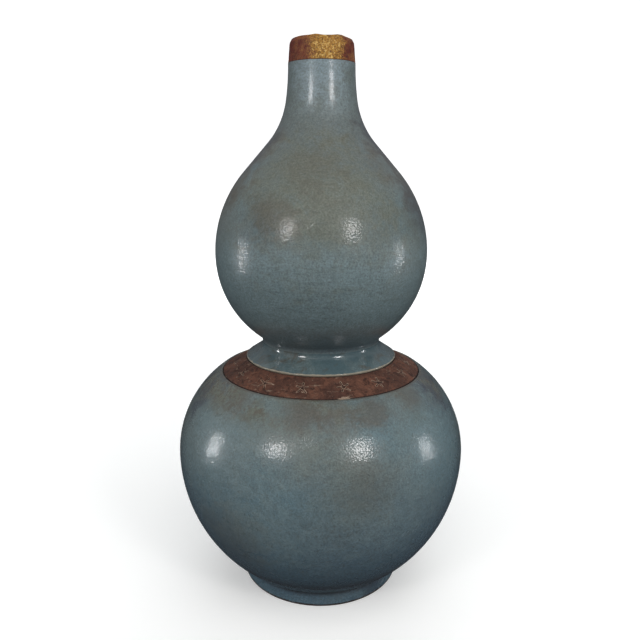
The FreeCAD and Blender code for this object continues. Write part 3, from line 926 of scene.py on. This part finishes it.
def bandMaterial():
    g = newFinish("ironBrownClay")
    cut, chip, edge = [g.add("Attribute", attribute_name=name).outputs["Fac"]
                       for name in ("carving", "chips", "edges")]
    blotch = g.noise(55.0, 5.0, 0.65, 0.6)
    grain = g.noise(420.0, 4.0, 0.7)
    g.ground = g.blend(g.ramp(blotch, 0.40, 0.62), band["clay"], band["rust"])
    dirt = g.noise(210.0, 5.0, 0.78, 0.8)
    g.lay(g.ramp(dirt, 0.49, 0.62, 0.0, 0.70), band["dark"])
    dust = g.noise(70.0, 3.0, 0.6)
    crumbs = g.mixed(g.noise(330.0, 5.0, 0.75), 0.7, dust, 0.3)
    g.lay(g.ramp(crumbs, 0.575, 0.65, 0.0, 0.50), band["pale"])
    scratch = g.noise(95.0, 4.0, 0.7, 0.4, g.stretched(1.0, 1.0, 9.0))
    g.lay(g.ramp(scratch, 0.60, 0.70, 0.0, 0.50), band["pale"])
    g.lay(g.ramp(cut, 0.10, 0.6, 0.0, 0.92), band["dark"])
    rim = g.times(g.hump(cut, 0.002, 0.02, 0.12, 0.26), g.ramp(grain, 0.32, 0.50))
    g.lay(g.times(rim, 0.95), band["pale"])
    # Painted shade along both edges of the band, where it lies sunk below the glaze
    g.lay(g.ramp(edge, 0.0, 0.7, 0.0, 0.95), band["dark"])
    g.lay(g.ramp(chip, 0.10, 0.5, 0.0, 0.80), band["pale"])
    value = g.plus(g.times(grain, 1.7), 0.12)
    g.ground = g.blend(1.0, g.ground, value, "MULTIPLY")
    g.set("Base Color", g.ground)
    g.set("Specular IOR Level", 0.25)
    g.set("Roughness", g.ramp(grain, 0.3, 0.7, 0.50, 0.85))
    tooth = g.bump(grain, 0.9, 0.45 * mm)
    g.set("Normal", g.bump(g.noise(1300.0, 2.0, 0.6), 0.5, 0.10 * mm, tooth))
    return g.owner


print("band")
placePiece(bandMesh(), "shoulder_band", bandMaterial())


# Mouth cuff
cuff = {
    "segments": 520,
    "lumpDepth": 0.26 * mm,
    "rimDip": 0.85 * mm,
    "rimRound": 0.8 * mm,          # how far the worn outer edge of the rim falls back
    "lumps": 14,
    "lumpsAround": (3, 26),        # fewest, and one more than the most
    "lumpRise": 9,                 # how much shorter the lumps are upwards
    "footFade": 7,                 # lumps fade in over a seventh of the height
    "seed": 5,
    "outsideFrom": 2.5 * mm,       # from the bore, where the worn outside begins
    "outsideFull": 3 * mm,         # and how much further out it is in full
    "peaks": ((-0.20, 0.16), (0.62, 0.20)),  # radians from the front, and their spread
    "dipFrom": 0.62,               # of the cuff's height, where the rim begins to dip
    "wornFrom": 0.78,              # and where its outer edge begins to fall back
    "leafFront": (-0.011, -0.019), # Y in metres, where leaf starts and where it is full
    "leafMiddle": 0.0042,          # X in metres
    "leafReach": 0.0190,
    # painted shadow: a dark line at the cuff's foot
    "footShadow": (0.9 * mm, 0.2 * mm),  # dark line at the cuff's foot, from none to full
    "lacquer": (0.128, 0.023, 0.014, 1.0),
    "lacquerDark": (0.042, 0.014, 0.012, 1.0),
    "brown": (0.225, 0.078, 0.030, 1.0),
    "underGold": (0.190, 0.076, 0.020, 1.0),
    "gold": (0.44, 0.225, 0.045, 1.0),
    "goldPale": (0.78, 0.54, 0.18, 1.0),
}
lumps = waves(cuff["seed"], cuff["lumps"], *cuff["lumpsAround"])


# Rises from nothing at a share of the cuff's height to one at its top.
def nearTop(up, start):
    return np.clip((up - start) / (1 - start), 0, 1)


# Hammered lumps on the outside, and a worn rim that dips unevenly between two small peaks.
def cuffRelief(angle, radius, height):
    span = m.mouthHeight - m.cuffFootHeight
    up = np.clip((height - m.cuffFootHeight) / span, 0, 1)
    beyond = radius - f.boreRadius - cuff["outsideFrom"]
    outside = np.clip(beyond / cuff["outsideFull"], 0, 1)
    total, rise = sum(w[3] for w in lumps), cuff["lumpRise"]
    bumps = sum(w[3] * np.sin(w[0] * angle + rise * w[1] * height + w[2]) for w in lumps) / total
    fade = np.clip(up * cuff["footFade"], 0, 1)
    radius = radius - cuff["lumpDepth"] * (1 - bumps) / 2 * outside * fade
    turned = np.where(angle > math.pi, angle - 2 * math.pi, angle)
    peaks = sum(np.exp(-((turned - at) / spread) ** 2) for at, spread in cuff["peaks"])
    wave = 0.5 + 0.5 * np.sin(3 * angle + 1.1) * np.sin(2 * angle + 2.3)
    dip = cuff["rimDip"] * np.clip(0.35 + 0.65 * wave - 0.75 * peaks, 0, 1)
    height = height - dip * nearTop(up, cuff["dipFrom"])
    # The worn edge stays clear of the bed of paste
    worn = nearTop(up, cuff["wornFrom"])
    bedRadius = f.cuffLipRadius - f.cuffThickness
    brim = np.clip((radius - bedRadius) / f.cuffThickness, 0, 1)
    radius = radius - cuff["rimRound"] * outside * brim * worn ** 2
    height = height - cuff["rimRound"] * brim ** 2 * worn
    return radius, height


def cuffMaterial():
    g = newFinish("wornLacquer")
    x, y, z = g.axis("X"), g.axis("Y"), g.axis("Z")
    blotch = g.noise(120.0, 5.0, 0.65, 0.5)
    fine = g.noise(700.0, 4.0, 0.7)
    crumb = g.noise(950.0, 3.0, 0.7)
    g.ground = g.blend(g.ramp(blotch, 0.40, 0.60), cuff["lacquer"], cuff["brown"])
    smut = g.noise(260.0, 5.0, 0.7)
    g.lay(g.ramp(smut, 0.50, 0.68, 0.0, 0.65), cuff["lacquerDark"])
    # The leaf is densest at the front, and clings elsewhere in crumbs
    front = g.ramp(y, *cuff["leafFront"])
    aside = g.math("ABSOLUTE", g.math("SUBTRACT", x, cuff["leafMiddle"]))
    middle = g.ramp(aside, 0.0, cuff["leafReach"], 1.0, 0.0)
    zone = g.times(front, middle)
    wear = g.ramp(g.mixed(zone, 0.62, blotch, 1.15), 0.58, 1.16)
    g.lay(wear, cuff["underGold"])
    crumbs = g.mixed(crumb, 1.30, wear, 0.20)
    leaf = g.times(g.ramp(crumbs, 0.70, 0.80), g.ramp(wear, 0.02, 0.40))
    g.lay(g.times(leaf, 0.85), cuff["gold"])
    bright = g.mixed(fine, 1.10, wear, 0.16)
    sparks = g.times(g.ramp(bright, 0.72, 0.82), g.ramp(wear, 0.05, 0.60))
    g.lay(g.times(sparks, 0.80), cuff["goldPale"])
    lost = g.ramp(g.noise(800.0, 3.0, 0.65, 0.3), 0.50, 0.62, 0.0, 0.62)
    g.lay(lost, cuff["lacquerDark"])
    # Painted shadow along the cuff's foot, where it meets the neck
    footShadowHeights = [m.cuffFootHeight + rise for rise in cuff["footShadow"]]
    footShadow = g.ramp(z, *footShadowHeights, 0.0, 0.85)
    g.lay(footShadow, cuff["lacquerDark"])
    g.set("Base Color", g.ground)
    g.set("Metallic", g.times(leaf, g.times(wear, 0.45)))
    g.set("Specular IOR Level", 0.30)
    g.set("Roughness", g.ramp(fine, 0.3, 0.7, 0.36, 0.62))
    g.set("Normal", g.bump(g.mixed(crumb, 0.8, fine, 0.6), 0.9, 0.35 * mm))
    return g.owner


print("cuff")
placePiece(latheMesh("mouthCuff", cuffOutline(), cuffRelief, cuff["segments"]),
           "mouth_cuff", cuffMaterial())


# Lacquer paste between the neck and the cuff
paste = {
    "dark": (0.020, 0.009, 0.007, 1.0),
    "brown": (0.060, 0.022, 0.015, 1.0),
}


def pasteMaterial():
    g = newFinish("lacquerPaste")
    tone = g.noise(300.0, 4.0, 0.6)
    g.ground = g.blend(g.ramp(tone, 0.35, 0.65), paste["dark"], paste["brown"])
    g.set("Base Color", g.ground)
    g.set("Roughness", g.ramp(tone, 0.3, 0.7, 0.35, 0.6))
    g.set("Normal", g.bump(tone, 0.4, 0.1 * mm))
    return g.owner


print("lacquer bed")
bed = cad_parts["lacquer_bed"]
bed.data.materials.clear()
bed.data.materials.append(pasteMaterial())


# Stage, lights and camera
stageSet = {
    "floorMiddle": 0.4,            # metres, as all lengths here
    "floorRadius": 2.6,
    "bend": 1.0,
    "bendSteps": 16,
    "wallTop": 4.0,
    "around": 96,                  # mesh corners
    "paper": (0.80, 0.80, 0.79, 1.0),
    "paperShade": (0.6, 0.6, 0.6, 1.0),
    "glow": (0.36, 1.16),          # low under the vase so that its shade shows, high far away
    "glowReach": (0.15, 1.9),      # metres from the axis
    "zenith": (0.92, 0.96, 1.0, 1.0),
    "nadir": (0.070, 0.076, 0.092, 1.0),
    "skyStrength": 0.34,
    "skyRise": (-0.35, 0.9),       # from the nadir's colour to the zenith's
    "lampAim": (0.0, 0.0, 0.20),
}
# Lamps: name, place in metres, width and height in metres, watts, colour, seen in the glaze
lampSet = (
    ("leftStrip", (-0.90, -0.05, 0.205), (0.017, 0.27), 0.92, (0.97, 0.98, 1.0), True),
    ("leftPanel", (-0.69, -0.94, 0.76), (0.20, 0.22), 2.5, (1.0, 0.98, 0.98), True),
    ("rightPanel", (0.54, -0.83, 0.69), (0.20, 0.22), 2.3, (1.0, 0.98, 0.98), True),
    ("rightStrip", (0.90, -0.06, 0.205), (0.024, 0.25), 0.68, (0.97, 0.98, 1.0), True),
    ("spark", (-0.23, -0.92, 0.887), (0.03, 0.03), 0.14, (1.0, 1.0, 1.0), True),
    ("softTop", (0.2, -0.9, 1.5), (1.4, 1.2), 11.0, (1.0, 0.99, 0.97), False),
    ("softFront", (0.0, -1.6, 0.10), (2.0, 0.6), 3.3, (0.97, 0.98, 1.0), False),
    ("softRight", (1.35, -0.55, 0.42), (0.8, 0.9), 4.3, (0.94, 0.98, 1.0), False),
    ("softLeft", (-1.35, -0.55, 0.42), (0.8, 0.9), 3.5, (0.94, 0.98, 1.0), False),
    ("softBack", (0.2, 1.50, 1.00), (1.6, 1.2), 13.0, (0.96, 0.98, 1.0), False),
)
cameraSet = {
    "distance": 0.4842,
    "height": 0.3186,
    "tilt": 13.5,                  # degrees below level
    "roll": 0.18,
    "focalPixels": 661.0,
    "framePixels": 640.0,
    "centreOffset": 1.0,           # pixels that the axis stands right of the frame's middle
    "sensorWidth": 36.0,           # millimetres
    "clipStart": 0.01,
}


# Pale paper under the vase that sweeps up all round it.
def buildStage():
    radius, bend, bendSteps = stageSet["floorRadius"], stageSet["bend"], stageSet["bendSteps"]
    line = [(stageSet["floorMiddle"], 0.0), (radius, 0.0)]
    for i in range(1, bendSteps + 1):
        a = rad(90) * i / bendSteps
        line.append((radius + bend * math.sin(a), bend - bend * math.cos(a)))
    line.append((radius + bend, stageSet["wallTop"]))
    count = stageSet["around"]
    places = [(0.0, 0.0, 0.0)]
    for r, z in line:
        for i in range(count):
            a = 2 * math.pi * i / count
            places.append((r * math.cos(a), r * math.sin(a), z))
    faces = [(0, 1 + i, 1 + (i + 1) % count) for i in range(count)]
    for row in range(len(line) - 1):
        for i in range(count):
            a, b = 1 + row * count + i, 1 + row * count + (i + 1) % count
            faces.append((a, a + count, b + count, b))
    sweep = smoothPiece("paperSweep", places, faces)
    g = newFinish("palePaper")
    tone = g.blend(g.ramp(g.noise(2.0, 2.0, 0.5), 0.3, 0.7, 0.0, 0.06), stageSet["paper"],
                   stageSet["paperShade"])
    g.set("Base Color", tone)
    g.set("Emission Color", tone)
    away = g.add("VectorMath", operation="LENGTH")
    g.join(g.stretched(1.0, 1.0, 0.0), away.inputs[0])  # from the axis, at any height
    glow = g.ramp(away.outputs["Value"], *stageSet["glowReach"], *stageSet["glow"], False)
    g.set("Emission Strength", glow)
    g.set("Roughness", 0.95)
    sweep.data.materials.append(g.owner)
    # The paper throws no light back, as if the vase stood on a dark table
    sweep.visible_diffuse = False
    sweep.visible_glossy = False
    sweep.visible_shadow = False


def buildLights():
    world = bpy.data.worlds.new("studio")
    bpy.context.scene.world = world
    g = Graph(world, "Generated")
    g.shader = g.tree.nodes["Background"]
    sky = g.blend(g.ramp(g.axis("Z"), *stageSet["skyRise"]), stageSet["nadir"], stageSet["zenith"])
    g.set("Color", sky)
    g.set("Strength", stageSet["skyStrength"])
    target = Vector(stageSet["lampAim"])
    for name, place, size, watts, colour, seen in lampSet:
        lamp = bpy.data.lights.new(name, "AREA")
        lamp.shape = "RECTANGLE"
        lamp.size, lamp.size_y = size
        lamp.energy = watts
        lamp.color = colour
        holder = addObject(name, lamp)
        holder.location = place
        holder.rotation_euler = (target - Vector(place)).to_track_quat("-Z", "Y").to_euler()
        holder.visible_glossy = seen


def buildCamera():
    c = cameraSet
    lens = bpy.data.cameras.new("viewCamera")
    lens.sensor_width = c["sensorWidth"]
    lens.lens = c["focalPixels"] / c["framePixels"] * lens.sensor_width
    lens.shift_x = -c["centreOffset"] / c["framePixels"]
    lens.clip_start = c["clipStart"]
    viewer = addObject("viewCamera", lens)
    turnDown = Matrix.Rotation(rad(90 - c["tilt"]), 4, "X")
    viewer.matrix_world = (Matrix.Translation((0, -c["distance"], c["height"])) @ turnDown
                           @ Matrix.Rotation(rad(c["roll"]), 4, "Z"))
    bpy.context.scene.camera = viewer


print("stage, lights and camera")
buildStage()
buildLights()
buildCamera()
bpy.context.scene.view_settings.view_transform = "Standard"
